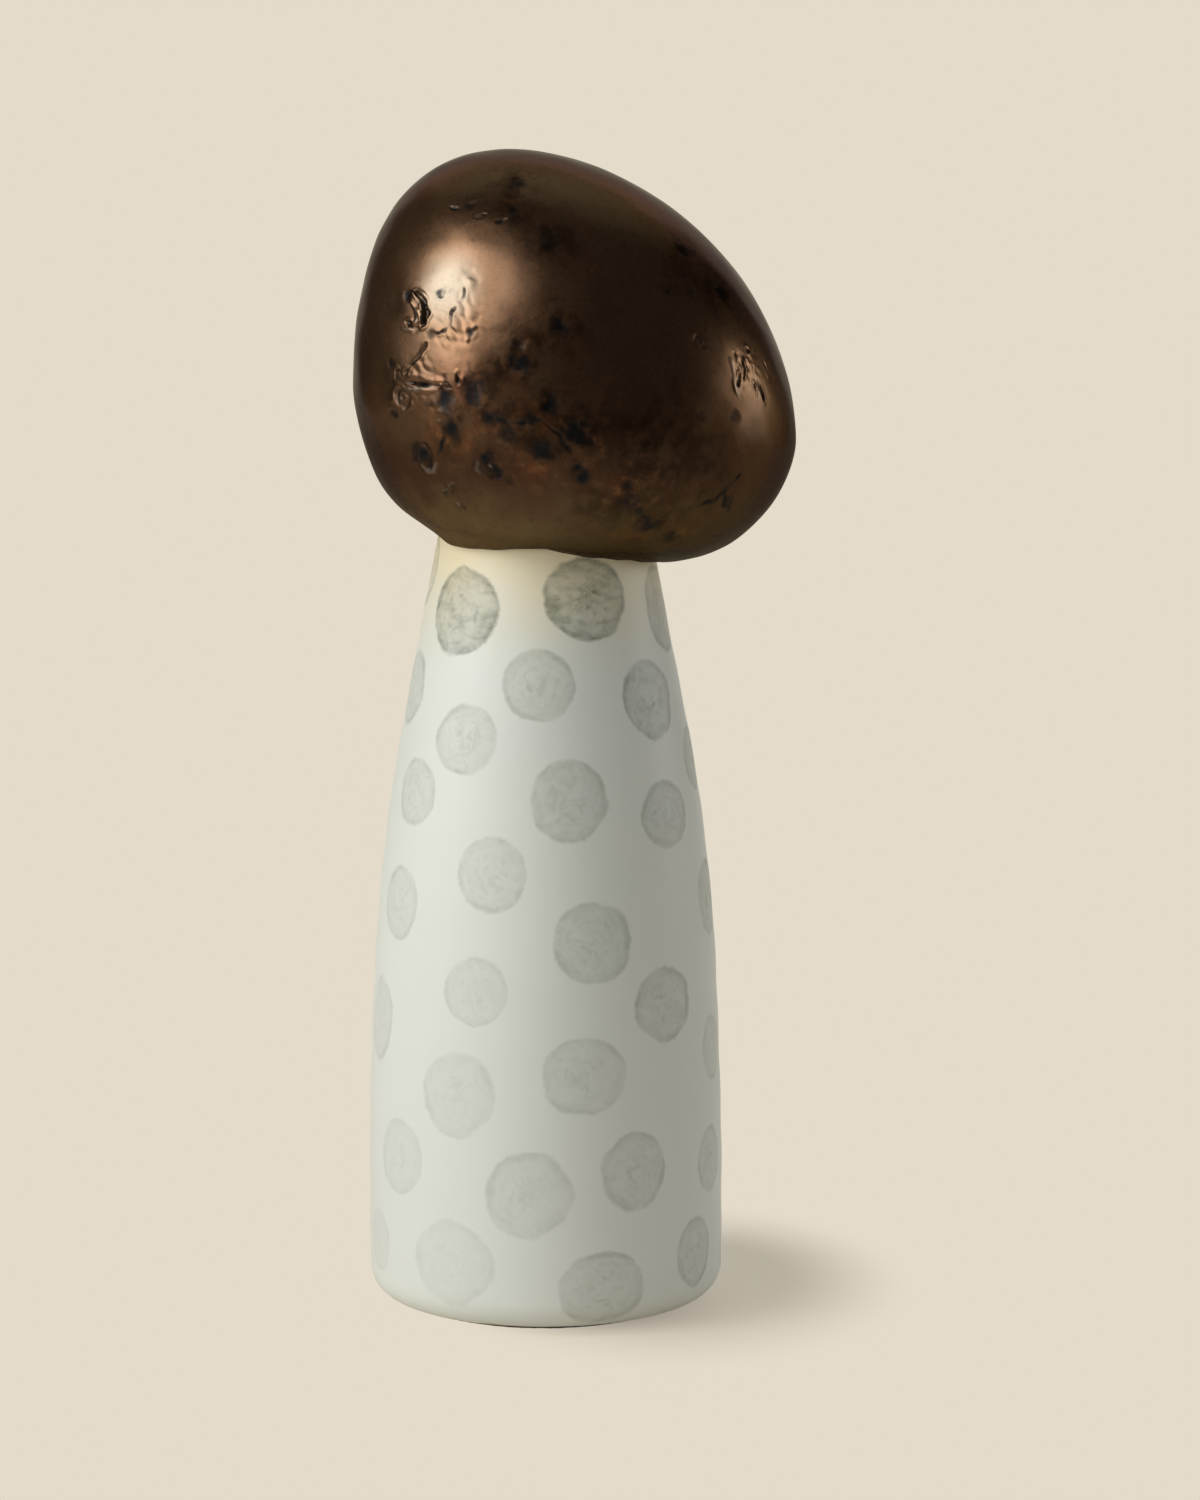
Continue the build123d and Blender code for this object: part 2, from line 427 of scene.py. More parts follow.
# what was pressed into the clay, as seen from the front or the back on the XZ plane
# buds and rings: x, z, radius, depth
# crumples: x, z, radius, height
# dark glaze patches, and painted shade at the lower right: x, z, radius, share
# twigs, folds, and runs of painted highlight on raised edges: a run of places, half its width, its depth, and
# how high it or its edges stand
pressedFront = {
    "buds": [
        (-17.3, 222.6, 2.6, 0.8), (-24, 220.5, 2.2, 0.7), (-23, 214, 2.0, 0.6), (-17.6, 236.3, 1.1, 0.8),
        (-6, 234, 1.8, 0.5), (-6.5, 229.5, 2.3, 0.6), (3.5, 238, 2.2, 0.5), (1.5, 258.5, 2.4, 0.4),
        (2, 219.5, 1.9, 0.6), (8, 212.5, 2.6, 0.6), (-0.5, 208.5, 2.2, 0.7), (9.2, 202, 1.5, 0.6),
        (7.4, 204.4, 1.1, 0.6), (-13, 216, 1.7, 0.5), (-9, 212, 2.1, 0.3), (-3.5, 215.5, 1.6, 0.5),
        (-7.5, 266, 1.7, 0.4), (-6.5, 272, 2.0, 0.4), (-17.5, 267, 1.4, 0.4), (29, 247, 1.4, 0.25),
        (33, 256, 1.7, 0.4), (34.5, 246.5, 1.1, 0.25), (42, 246.5, 2.2, 0.5), (37.9, 217, 1.3, 0.15),
        (46, 216.5, 1.5, 0.3), (20, 199.5, 1.6, 0.35), (20.5, 196, 2.2, 0.3), (24.5, 190.5, 2.5, 0.35),
        (30.5, 187.5, 1.7, 0.25), (-27.3, 236.4, 1.0, 0.4), (-36.5, 217.5, 1.5, 0.5),
        (-32.8, 245.5, 1.4, 0.9), (-37, 229, 1.3, 0.4), (-29.7, 207.4, 1.5, 0.9), (-14.5, 206, 1.3, 0.7),
        (-12, 204, 1.1, 0.6),
    ],
    "rings": [
        (-34.6, 221, 2.5, 0.6), (-35.5, 226.5, 1.5, 0.4), (-29.5, 207, 3.0, 0.5), (-13.6, 204.5, 2.9, 0.45),
        (-22.6, 198.3, 2.3, 0.35), (-20.3, 195, 1.7, 0.3), (-24.1, 246.3, 1.3, 0.2), (37.5, 234.5, 2.0, 0.12),
        (44, 196, 1.8, 0.25),
    ],
    "twigs": [
        ([(-34.5, 225.5), (-31.5, 230), (-28.5, 234.2)], 0.55, 0.6, 0.4),
        ([(-34.3, 225.4), (-28.5, 223.9), (-22.7, 223.4)], 0.5, 0.5, 0.5),
        ([(-13, 216), (-6, 215), (-1, 215.8)], 0.9, 0.25, 0.05),
        ([(-1, 215.8), (3.5, 212), (6.5, 207), (9, 203)], 0.5, 0.16, 0.0),
        ([(-19.4, 248.5), (-19.6, 245.2), (-22.7, 239.4), (-25.2, 236.6), (-27, 236.2)], 0.4, 0.3, 0.2),
        ([(-22.5, 266.5), (-20.5, 265.8)], 0.6, 0.3, 0.1),
        ([(-16.5, 264.2), (-14, 264.8)], 0.7, 0.3, 0.15),
        ([(-11.5, 262.8), (-9.5, 263.6)], 0.6, 0.3, 0.1),
        ([(-30.4, 246.6), (-28.7, 244.4), (-28.3, 241.4), (-29.4, 238.2)], 0.85, 1.1, 0.4),
        ([(-33.5, 239.5), (-31.6, 237.6), (-29.8, 237.4)], 0.5, 0.6, 0.4),
        ([(48.7, 233.4), (48.4, 230.8)], 0.5, 0.6, 0.3),
        ([(45.6, 231.2), (46.2, 228.8)], 0.4, 0.5, 0.3),
        ([(46.9, 227.2), (46.6, 224)], 0.5, 0.6, 0.3),
        ([(50, 228.4), (50.5, 225.6)], 0.45, 0.5, 0.3),
        ([(51, 226.2), (52.3, 222), (52.5, 219.6)], 0.55, 0.7, 0.4),
        ([(52.6, 229.2), (53.4, 226)], 0.45, 0.5, 0.3),
        ([(47.6, 202.5), (43.4, 198.8), (41.3, 196.2), (35.5, 194.6)], 0.5, 0.35, 0.15),
        ([(43.4, 198), (43.9, 193.2)], 0.5, 0.3, 0.15),
        ([(-21, 227.2), (-20.8, 223.4)], 0.4, 0.45, 0.4),
        ([(-24.4, 226.6), (-23.4, 224)], 0.4, 0.45, 0.4),
        ([(20, 199), (22, 194), (25, 190)], 0.6, 0.25, 0.05),
        ([(-25.4, 216), (-24.2, 211), (-26, 207.5)], 0.5, 0.25, 0.1),
    ],
    "folds": [
        ([(-31.8, 244.2), (-30.3, 242), (-29.9, 239.4), (-32.6, 238.2)], 0.6, 0.0, 0.55),
        ([(-34.3, 226.9), (-29, 225.4), (-23.5, 225)], 0.5, 0.0, 0.3),
        ([(-33.8, 223.9), (-29.5, 222.6), (-26.5, 222.4)], 0.5, 0.0, 0.3),
        ([(-19.6, 226.6), (-19.4, 224.6)], 0.45, 0.0, 0.3),
        ([(-22, 218.5), (-20.6, 215.5)], 0.5, 0.0, 0.3),
        ([(-16, 238.4), (-19, 234.6)], 0.6, 0.0, 0.3),
        ([(47.3, 231.6), (48.4, 227.8), (47.9, 224.4)], 0.5, 0.0, 0.4),
        ([(44.9, 227), (45.9, 222.8)], 0.6, 0.0, 0.2),
        ([(50.2, 224.6), (51, 221.2)], 0.5, 0.0, 0.35),
        ([(-29, 204.6), (-27, 204.4)], 0.6, 0.0, 0.35),
    ],
    "crumples": [
        (-21.5, 240.5, 8.5, 0.3), (-30.5, 226, 6.5, 0.3), (-25.5, 216.5, 4.5, 0.26), (48.8, 227, 6.5, 0.28),
        (-18, 249.5, 3.6, 0.3),
    ],
    "smokeAndShade": [
        (2.6, 258.4, 6.5, 0.6), (-9, 266.4, 6, 0.55), (-17.5, 267.5, 5, 0.45), (-6, 233, 6.5, 0.7),
        (4, 238, 5, 0.6), (-12, 227, 7, 0.5), (-17, 222, 6.5, 0.6), (-4.6, 216, 8, 0.6), (1.5, 219.5, 5, 0.6),
        (8.2, 212.3, 6.5, 0.6), (0.4, 209.5, 5, 0.55), (-23.5, 220.5, 4.5, 0.6), (-22.8, 214, 4.5, 0.5),
        # the two large patches at the lower right, at x 26 and 38, are painted shade
        (8.2, 203.5, 4.5, 0.5), (26, 207, 17, 0.85), (38, 204, 13, 0.7), (-34.5, 244, 5, 0.5),
        (-36, 224, 6, 0.5), (-28.5, 207, 5, 0.4), (-14, 204.4, 5, 0.4), (22, 194, 6, 0.4), (31, 188, 4, 0.4),
        (14, 195.5, 9, 0.65), (29, 195, 9, 0.6), (33, 250, 8, 0.4), (42, 247, 6, 0.4), (-10, 242, 3, 0.3),
    ],
    "glintRuns": [
        ([(-30.9, 243), (-30.6, 240.6), (-31, 238.5)], 0.5, 0.6, 0.3),
        ([(-34.4, 237.8), (-32.8, 237.5), (-31.4, 237.7)], 0.4, 0.5, 0.2),
        ([(-29.8, 205), (-28.4, 203.6), (-27, 203.5), (-26.1, 205.1)], 0.6, 0.4, 0.25),
        ([(-16.3, 205.4), (-16.1, 203.9), (-15, 203)], 0.5, 0.25, 0.2),
        ([(-13.4, 204.8), (-13.1, 204.3)], 0.5, 0.4, 0.2),
        ([(-21, 195.6), (-20.7, 194.9)], 0.5, 0.4, 0.2),
        ([(-24.8, 198.5), (-23.7, 200.2), (-21.8, 200.3)], 0.5, 0.22, 0.1),
        ([(-34.8, 223.8), (-31, 223.2), (-27, 223.3)], 0.4, 0.5, 0.2),
        ([(44.6, 230.6), (45.4, 226.4), (46.6, 222)], 0.7, 0.3, 0.08),
        ([(49.8, 225.2), (51.2, 222.6), (52.3, 218.4)], 0.6, 0.3, 0.12),
    ],
}
pressedBack = {
    "buds": [
        (-22, 232, 2.7, 0.7), (-16, 237, 2.1, 0.6), (-27, 226, 2.0, 0.6), (-12, 229, 2.3, 0.6),
        (-18, 222, 1.7, 0.5), (12, 214, 2.6, 0.7), (18, 209, 2.1, 0.6), (6, 208, 2.0, 0.6),
        (22, 216, 1.8, 0.5), (14, 202, 2.3, 0.6), (26, 243, 2.1, 0.5), (32, 238, 1.7, 0.5),
        (21, 249, 1.9, 0.5), (-4, 259, 2.0, 0.4), (-10, 263, 1.6, 0.4), (-32, 205, 2.0, 0.5),
        (-26, 200, 2.4, 0.5), (39, 206, 1.9, 0.5), (36, 199, 1.6, 0.4), (2, 241, 1.7, 0.4),
    ],
    "rings": [
        (-29, 219, 2.5, 0.45), (8, 220, 2.3, 0.45), (30, 229, 2.6, 0.45), (-6, 252, 2.0, 0.3),
        (-8, 199, 2.4, 0.4), (43, 222, 2.0, 0.35),
    ],
    "twigs": [
        ([(-28, 225), (-22, 229), (-17, 233), (-11, 234.5)], 0.55, 0.5, 0.4),
        ([(-22, 229), (-18, 224)], 0.5, 0.45, 0.3),
        ([(24, 218), (17, 213), (11, 210), (5, 206)], 0.55, 0.5, 0.4),
        ([(13, 211), (14, 204)], 0.5, 0.45, 0.2),
        ([(19, 250), (25, 246), (31, 240), (35, 234)], 0.5, 0.45, 0.4),
        ([(-2, 260), (-8, 258), (-13, 259.5)], 0.5, 0.3, 0.1),
        ([(-34, 207), (-29, 202), (-22, 199)], 0.5, 0.4, 0.2),
        ([(41, 209), (38, 203), (35, 197)], 0.45, 0.4, 0.2),
    ],
    "folds": [
        ([(-26, 228.5), (-20, 232.5), (-14, 236)], 0.5, 0.0, 0.3),
        ([(21, 214), (15, 209), (9, 206)], 0.5, 0.0, 0.3),
        ([(24, 249), (30, 244), (35, 238)], 0.5, 0.0, 0.3),
    ],
    "crumples": [(-20, 229, 7, 0.15), (15, 211, 7, 0.15), (28, 243, 6, 0.13)],
    "smokeAndShade": [
        (-20, 231, 9, 0.6), (-27, 224, 6, 0.5), (13, 210, 9, 0.6), (8, 203, 6, 0.5), (27, 243, 8, 0.5),
        (-6, 260, 7, 0.5), (-29, 203, 7, 0.5), (38, 204, 7, 0.4), (2, 230, 10, 0.3),
    ],
    "glintRuns": [
        ([(-31, 219.5), (-29.4, 217), (-27.2, 217.6)], 0.6, 0.5, 0.2),
        ([(28, 227.4), (30, 226.8), (31.8, 228)], 0.6, 0.5, 0.2),
        ([(6.4, 219), (7.6, 218), (9.4, 218.6)], 0.5, 0.4, 0.2),
    ],
}


# every pressed mark, painted highlight and patch as places on the skin: twigs, folds and painted highlight
# runs are a run of them, the others one place
def gatherMarks():
    marks = []
    for source, behind in ((pressedFront, False), (pressedBack, True)):
        for kind in ("buds", "rings", "crumples", "smokeAndShade"):
            for x, z, size, depth in source[kind]:
                hit = findPlace(capTree, x, z, behind)
                if hit is None:
                    print("no cap at", kind, x, z)
                else:
                    marks.append((kind, hit[None, :], size, depth, 0.0))
        for kind in ("twigs", "folds", "glintRuns"):
            for run, size, depth, proud in source[kind]:
                steps = []
                for (x0, z0), (x1, z1) in zip(run, run[1:]):
                    steps += [(x0 + (x1 - x0) * k / 3, z0 + (z1 - z0) * k / 3) for k in range(3)]
                steps.append(run[-1])
                hits = [findPlace(capTree, x, z, behind) for x, z in steps]
                marks.append((kind, np.array([h for h in hits if h is not None]), size, depth, proud))
    return marks


# how far each place is from a mark, and how far along its run the nearest part is
def markDistance(places, run):
    best = np.linalg.norm(places - run[0], axis=1)
    along = np.zeros(len(places))
    for number, (start, end) in enumerate(zip(run, run[1:])):
        way = end - start
        part = np.clip((places - start) @ way / (way @ way), 0, 1)
        far = np.linalg.norm(places - start - part[:, None] * way, axis=1)
        closer = far < best
        best[closer] = far[closer]
        along[closer] = (number + part[closer]) / (len(run) - 1)
    return best, along


# finer faces where something is pressed in, kept on the unit ball until the shape is final
def refineMarks(within):
    mesh = cap.data
    middles = readAll(mesh.polygons, "center")
    places = bulbPlaces(middles / np.linalg.norm(middles, axis=1)[:, None])
    chosen = np.zeros(len(places), bool)
    for kind, run, size, depth, proud in capMarks:
        if kind != "smokeAndShade":
            chosen |= markDistance(places, run)[0] < size * 1.2 + within
    goTo("EDIT")
    bpy.ops.mesh.select_mode(type="FACE")
    bpy.ops.mesh.select_all(action="DESELECT")
    goTo("OBJECT")
    mesh.polygons.foreach_set("select", chosen)
    goTo("EDIT")
    bpy.ops.mesh.subdivide(number_cuts=1, ngon=False)
    goTo("OBJECT")
    ball = readAll(mesh.vertices, "co")
    setPoints(mesh, ball / np.linalg.norm(ball, axis=1)[:, None])


capMarks = gatherMarks()
for within in capSet["finerWithin"]:
    refineMarks(within)
places = bulbPlaces(readAll(cap.data.vertices, "co"))
setPoints(cap.data, places * mm)
outwards = readAll(cap.data.vertices, "normal")

# nothing pressed in by hand has an even edge: distances are taken from places pushed about by half a
# millimetre, widths wobble, and edges come and go
pushes = []
for turn in (0.3, 1.1, 2.0):
    pushes.append(0.5 * softWaves(places, 7.0, turn) + 0.2 * softWaves(places, 2.6, turn + 0.5))
pushed = places + np.stack(pushes, 1)
wobble = 0.7 * softWaves(places, 5.2, 0.7) + 0.4 * softWaves(places, 2.3, 2.9)
broken = np.clip(0.5 + 0.6 * softWaves(places, 4.3, 3.3), 0, 1)
wrinkles = np.abs(softWaves(places, 4.1, 1.9)) + 0.4 * softWaves(places, 1.9, 0.3) - 0.4

# dent, ridge and crumple shape the skin, the others go to the glaze colour, one of them as painted highlight;
# reach counts in the mark's own sizes
layerNames = ("dent", "ridge", "crumple", "pooled", "flash", "smokyAndShaded", "glintShare")
layers = {name: np.zeros(len(places)) for name in layerNames}
for kind, run, size, depth, proud in capMarks:
    far, along = markDistance(pushed, run)
    near = far < size * 3 + 14  # a mark does nothing farther off
    far = far[near]
    ragged = broken[near]
    reach = far / size * (1 + 0.2 * wobble[near])
    if kind in ("twigs", "folds", "glintRuns"):
        reach /= 0.55 + 0.45 * np.sqrt(np.sin(math.pi * np.clip(along[near], 0, 1)))  # thinner at the ends
    found = {}
    if kind == "buds":
        found["dent"] = 0.28 * depth * smoothStep(1.5, 0.1, reach)
        found["ridge"] = 0.06 * depth * ragged * bell(reach - 1.4, 0.3)
        found["pooled"] = smoothStep(1.95, 0.2, reach) * min(0.4 + 0.9 * depth, 1)
        if size > 1.55:  # the glaze rusts round the larger ones
            found["flash"] = min(depth / 0.6, 1) * bell(far, size + 5)
    elif kind == "rings":
        reach *= 1 + 0.25 * wobble[near]
        found["dent"] = depth * (ragged * bell(reach - 0.8, 0.22) + 0.5 * smoothStep(0.4, 0.1, reach))
        edges = bell(reach - 1.2, 0.17) + 0.6 * bell(reach - 0.5, 0.15)
        found["ridge"] = 0.35 * depth * (0.3 + 0.7 * ragged) * edges
        found["pooled"] = (0.1 + 0.7 * ragged) * bell(reach - 0.8, 0.35) + 0.5 * smoothStep(0.6, 0.1, reach)
    elif kind == "twigs":
        found["dent"] = depth * smoothStep(1.3, 0.2, reach) * (0.2 + 0.8 * ragged)
        found["ridge"] = proud * depth * ragged * bell(reach - 1.8, 0.5)
        found["pooled"] = (0.35 + 0.6 * ragged) * smoothStep(2.1, 0.4, reach)
    elif kind == "folds":
        found["ridge"] = proud * smoothStep(1.6, 0, reach) * (0.5 + 0.5 * ragged)
    # light colour along a raised edge: painted highlight
    elif kind == "glintRuns":
        found["ridge"] = proud * smoothStep(1.7, 0, reach)
        found["glintShare"] = depth * smoothStep(1.5, 0.3, reach)
    elif kind == "smokeAndShade":
        found["smokyAndShaded"] = depth * smoothStep(1.4, 0.1, reach)
    else:
        found["crumple"] = 0.5 * depth * smoothStep(1.15, 0.3, reach)
    for name, values in found.items():
        layers[name][near] = np.maximum(layers[name][near], values)
dent = layers["dent"]
shift = layers["ridge"] * (1 - smoothStep(0, 0.3, dent)) - dent + layers["crumple"] * wrinkles
for length, start, share in capSet["unevenWaves"]:
    shift += capSet["unevenness"] * share * softWaves(places, length, start)
setPoints(cap.data, (places + outwards * shift[:, None]) * mm)
for name in ("pooled", "flash", "smokyAndShaded", "glintShare"):
    addValues(cap.data, name, layers[name])
addValues(cap.data, "bare", np.zeros(len(places)))
print("cap skin", len(cap.data.polygons), "faces,", len(capMarks), "marks")


# selects the cap's open edge and plans the rings that take it in over the lip, up the socket and across its
# ceiling: radius and height at each angle, and how bare the clay is
def planMouth():
    c = capSet
    goTo("EDIT")
    bpy.ops.mesh.select_mode(type="VERT")
    bpy.ops.mesh.select_all(action="DESELECT")
    bpy.ops.mesh.select_non_manifold()
    goTo("OBJECT")
    rim = np.array([v.co for v in cap.data.vertices if v.select]) / mm
    rim = rim[np.argsort(np.arctan2(rim[:, 1], rim[:, 0]))]
    around = np.arctan2(rim[:, 1], rim[:, 0])
    outer = np.hypot(rim[:, 0], rim[:, 1])
    low = rim[:, 2]
    inner = neckRadius(low) + c["clearance"]
    rings = []
    for part, rise in c["lipRound"]:
        rings.append((outer + (inner - outer) * part, low + rise, 0.2 + 0.6 * part))
    wallHeights = [low + rise for rise in c["socketStart"]]
    start = wallHeights[-1]
    wallHeights += [start + (c["ceiling"] - start) * part for part in c["socketRows"]]
    for height in wallHeights:
        rings.append((neckRadius(height) + c["clearance"], height, 1))
    level = np.ones(len(low))
    wall = neckRadius(c["ceiling"]) + c["clearance"]
    for part in c["ceilingRows"]:
        rings.append(((wall + (c["ventRadius"] - wall) * part) * level, c["ceiling"] * level, 1))
    for rise in (c["ventEdge"], c["ventDepth"]):
        rings.append((c["ventRadius"] * level, (c["ceiling"] + rise) * level, 1))
    return around, rings


around, rings = planMouth()
for radius, height, share in rings:
    goTo("EDIT")
    bpy.ops.mesh.extrude_edges_move(TRANSFORM_OT_translate={"value": (0, 0, 0)})
    goTo("OBJECT")
    mesh = cap.data
    points = readAll(mesh.vertices, "co")
    fresh = np.array([v.index for v in mesh.vertices if v.select])
    turn = np.arctan2(points[fresh, 1], points[fresh, 0])
    out = np.interp(turn, around, radius, period=fullTurn)
    up = np.interp(turn, around, height, period=fullTurn)
    points[fresh] = np.stack((out * np.cos(turn), out * np.sin(turn), up), 1) * mm
    setPoints(mesh, points)
    for name, value in (("bare", share), ("pooled", 0), ("flash", 0), ("smokyAndShaded", 0), ("glintShare", 0)):
        values = np.empty(len(points))
        mesh.attributes[name].data.foreach_get("value", values)
        values[fresh] = value
        mesh.attributes[name].data.foreach_set("value", values)
goTo("EDIT")
bpy.ops.mesh.edge_face_add()
bpy.ops.mesh.select_all(action="SELECT")
bpy.ops.mesh.normals_make_consistent(inside=False)
goTo("OBJECT")
bpy.ops.object.shade_smooth_by_angle(angle=math.radians(60))
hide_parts("cap")
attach(cap, "cap_body")
print("cap", len(cap.data.polygons), "faces")

# cork ring between them, of pressed grains
corkSet = {
    "inner": 12.0, "outer": 20.0, "low": 205.0, "high": 207.0, "chamfer": 0.3, "steps": 160,
    "pitting": 0.12, "pitLength": 1.9,
}


def corkOutline():
    inner, outer, low, high, cut = [corkSet[name] for name in ("inner", "outer", "low", "high", "chamfer")]
    under = [(inner + cut + (outer - inner - 2 * cut) * k / 9, low) for k in range(10)]
    wall = [(outer, low + cut + (high - low - 2 * cut) * k / 3) for k in range(4)]
    top = [(out, high) for out, up in reversed(under)]
    hole = [(inner, up) for out, up in reversed(wall)]
    return under + wall + top + hole + under[:1]


cork = spinOutline("CorkRing", corkOutline(), corkSet["steps"])
points = readAll(cork.data.vertices, "co") / mm
outwards = readAll(cork.data.vertices, "normal")
pits = corkSet["pitting"] * np.maximum(softWaves(points, corkSet["pitLength"], 0.2), 0)
setPoints(cork.data, (points - outwards * pits[:, None]) * mm)
bpy.ops.object.shade_smooth_by_angle(angle=math.radians(30))
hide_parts("seat_ring")
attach(cork, "seat")
print("cork ring", len(cork.data.polygons), "faces")

# felt disc stuck under the stem
feltSet = {
    "radius": 33.0, "thick": 1.5, "round": 0.45, "steps": 160,
    "fray": 0.22, "frayFrom": 28, "frayLength": 2.3,
}


def feltOutline():
    f = feltSet
    under = [((f["radius"] - f["round"]) * k / 12, 0) for k in range(13)]
    rim = [(f["radius"], up) for up in (f["round"], f["thick"] / 2, f["thick"] - f["round"])]
    return under + rim + [(out, f["thick"]) for out, up in reversed(under)]


felt = spinOutline("BaseFelt", feltOutline(), feltSet["steps"])
points = readAll(felt.data.vertices, "co") / mm
radius = np.hypot(points[:, 0], points[:, 1])
fray = feltSet["fray"] * (softWaves(points, feltSet["frayLength"], 1.1) - 1)
fray *= smoothStep(feltSet["frayFrom"], feltSet["radius"], radius)
points[:, :2] *= (1 + fray / np.maximum(radius, 1))[:, None]
setPoints(felt.data, points * mm)
bpy.ops.object.shade_smooth_by_angle(angle=math.radians(50))
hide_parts("base_felt")
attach(felt, "stem_body")
print("felt", len(felt.data.polygons), "faces")

# white stoneware glaze, brushed dots under it: satin, cool white, and a warm cream band below the cap that is
# painted bounce light from the bronze
glazeSet = {
    "white": ("#D8DDD5", "#DFE1D9"),
    # painted warm bounce light from the bronze cap: its colour, the heights in mm of its band, and the waver
    # of that band
    "paintedBounce": "#E2D4AD",
    "paintedBounceBand": (164, 197),
    "paintedBounceWaver": 16,
    "dot": "#6E7360",
    "dotTone": 0.36,
    "speck": "#4F4A3D",
    "clay": ("#A48C70", "#CDB799"),
    "bareTop": (197.6, 198.1),
    "bareFoot": (3.7, 3.2),
    "bareWaver": 3,
    "satin": (0.44, 0.52),
    "clayRough": 0.85,
}
made, add, shader, place = startMaterial("white satin stoneware glaze")
height = add("SeparateXYZ", (place,), out="Z")
spot = add("UVMap", {}, uv_map="dots")
dotStrength, dotSeed = [
    add("Attribute", {}, out="Fac", attribute_name=name) for name in ("dotStrength", "dotSeed")
]
clouds, neckWaver, grit = [
    add("TexNoise", {"Vector": place, "Scale": 1 / (size * mm), "Detail": detail})
    for size, detail in ((55, 2), (14, 2), (0.8, 3))
]

# the brush leaves an uneven edge: slow waver about 8 mm long and a finer one of 1.5 mm
for length, detail, push in ((8, 1, 0.26), (1.5, 2, 0.09)):
    inputs = {"Vector": place, "Scale": 1 / (length * mm), "Detail": detail}
    edge = add("TexNoise", inputs, out="Color")
    edge = add("VectorMath", (edge, (0.5, 0.5, 0.5)), operation="SUBTRACT")
    spot = add("VectorMath", (edge, (push, push, 0), spot), operation="MULTIPLY_ADD")
fromMiddle = add("VectorMath", (spot,), out="Value", operation="LENGTH")
inDot, rimDot, midDot = [
    add("MapRange", (fromMiddle, low, high), **smooth)
    for low, high in ((1.02, 0.91), (0.7, 0.93), (0.62, 0.2))
]

# a thin wash with faint rounds of the brush, a smudge where it lifts near the middle and a darker rim on some
# sides; the darkest dots were gone over again in short level strokes
seed = add("CombineXYZ", {"Z": dotSeed})
wash = add("VectorMath", (spot, seed), operation="ADD")
blotch = add("TexNoise", {"Vector": wash, "Scale": 1.3, "Detail": 1})
streaks = add("TexNoise", {"Vector": wash, "Scale": 3.4, "Detail": 5, "Distortion": 1.2})
level = add("VectorMath", (wash, (2, 5, 1)), operation="MULTIPLY")
level = add("TexNoise", {"Vector": level, "Scale": 1, "Detail": 3})
again = add("MapRange", (dotStrength, 0.8, 1))
rounds = add("Math", (fromMiddle, 4.2 * fullTurn), operation="MULTIPLY")
rounds = add("Math", (blotch, 16, rounds), operation="MULTIPLY_ADD")
rounds = add("Math", (rounds,), operation="SINE")
tone = glazeSet["dotTone"]
for share, *span in (  # a MapRange takes a value, from, to, and what it gives at each
    (rounds, streaks, 0.4, 0.65, 0, 0.07),
    (1, streaks, 0.3, 0.7, -0.12, 0.12),
    (midDot, streaks, 0.48, 0.7, 0, 0.2),
    (rimDot, blotch, 0.35, 0.65, 0.04, 0.34),
    (again, level, 0.48, 0.7, 0, 0.3),
):
    part = add("MapRange", span)
    tone = add("Math", (share, part, tone), operation="MULTIPLY_ADD")
tone = add("Math", (tone, dotStrength), operation="MULTIPLY")
tone = add("Math", (tone, inDot), operation="MULTIPLY", use_clamp=True)

# iron specks of about half a millimetre, one every few centimetres
cells = add("TexVoronoi", {"Vector": place, "Scale": 1 / (11 * mm)})
speckSize = add("SeparateColor", (cells.node.outputs["Color"],))
speckSize = add("MapRange", (speckSize, 0.72, 1, 0, 0.04))
speck = add("Math", (cells, speckSize), operation="LESS_THAN")
speck = add("Math", (speck, 0.6), operation="MULTIPLY")

# painted warm bounce light from the cap as a cream band at the neck; bare buff clay above the glaze line,
# inside the cap's socket, and on the foot's flat
low, high = glazeSet["paintedBounceBand"]
neckHeight = add("Math", (neckWaver, glazeSet["paintedBounceWaver"] * mm, height), operation="MULTIPLY_ADD")
paintedBounce = add("MapRange", (neckHeight, low * mm, high * mm, 0, 0.9), **smooth)
glazeEnd = add("Math", (neckWaver, glazeSet["bareWaver"] * mm, height), operation="MULTIPLY_ADD")
bareTop, bareFoot = [
    add("MapRange", (glazeEnd, low * mm, high * mm))
    for low, high in (glazeSet["bareTop"], glazeSet["bareFoot"])
]
bare = add("Math", (bareTop, bareFoot), operation="MAXIMUM")
colour, clay = [
    add("Mix", {0: pattern, 6: hexColour(first), 7: hexColour(second)}, **asColour)
    for pattern, (first, second) in ((clouds, glazeSet["white"]), (grit, glazeSet["clay"]))
]
for share, paint in (
    (paintedBounce, hexColour(glazeSet["paintedBounce"])),
    (tone, hexColour(glazeSet["dot"])),
    (speck, hexColour(glazeSet["speck"])),
    (bare, clay),
):
    colour = add("Mix", {0: share, 6: colour, 7: paint}, **asColour)
satin = add("MapRange", (clouds, 0.3, 0.7, *glazeSet["satin"]))
rough = add("Mix", {0: bare, 2: satin, 3: glazeSet["clayRough"]}, data_type="FLOAT")
relief = add("Math", (grit, bare), operation="MULTIPLY")
relief = add("Math", (tone, 0.35, relief), operation="MULTIPLY_ADD")
bump = add("Bump", {"Height": relief, "Distance": 0.12 * mm, "Strength": 0.6})
fillInputs(shader, {"Base Color": colour, "Roughness": rough, "Normal": bump, "IOR": 1.5})
stem.data.materials.append(made)

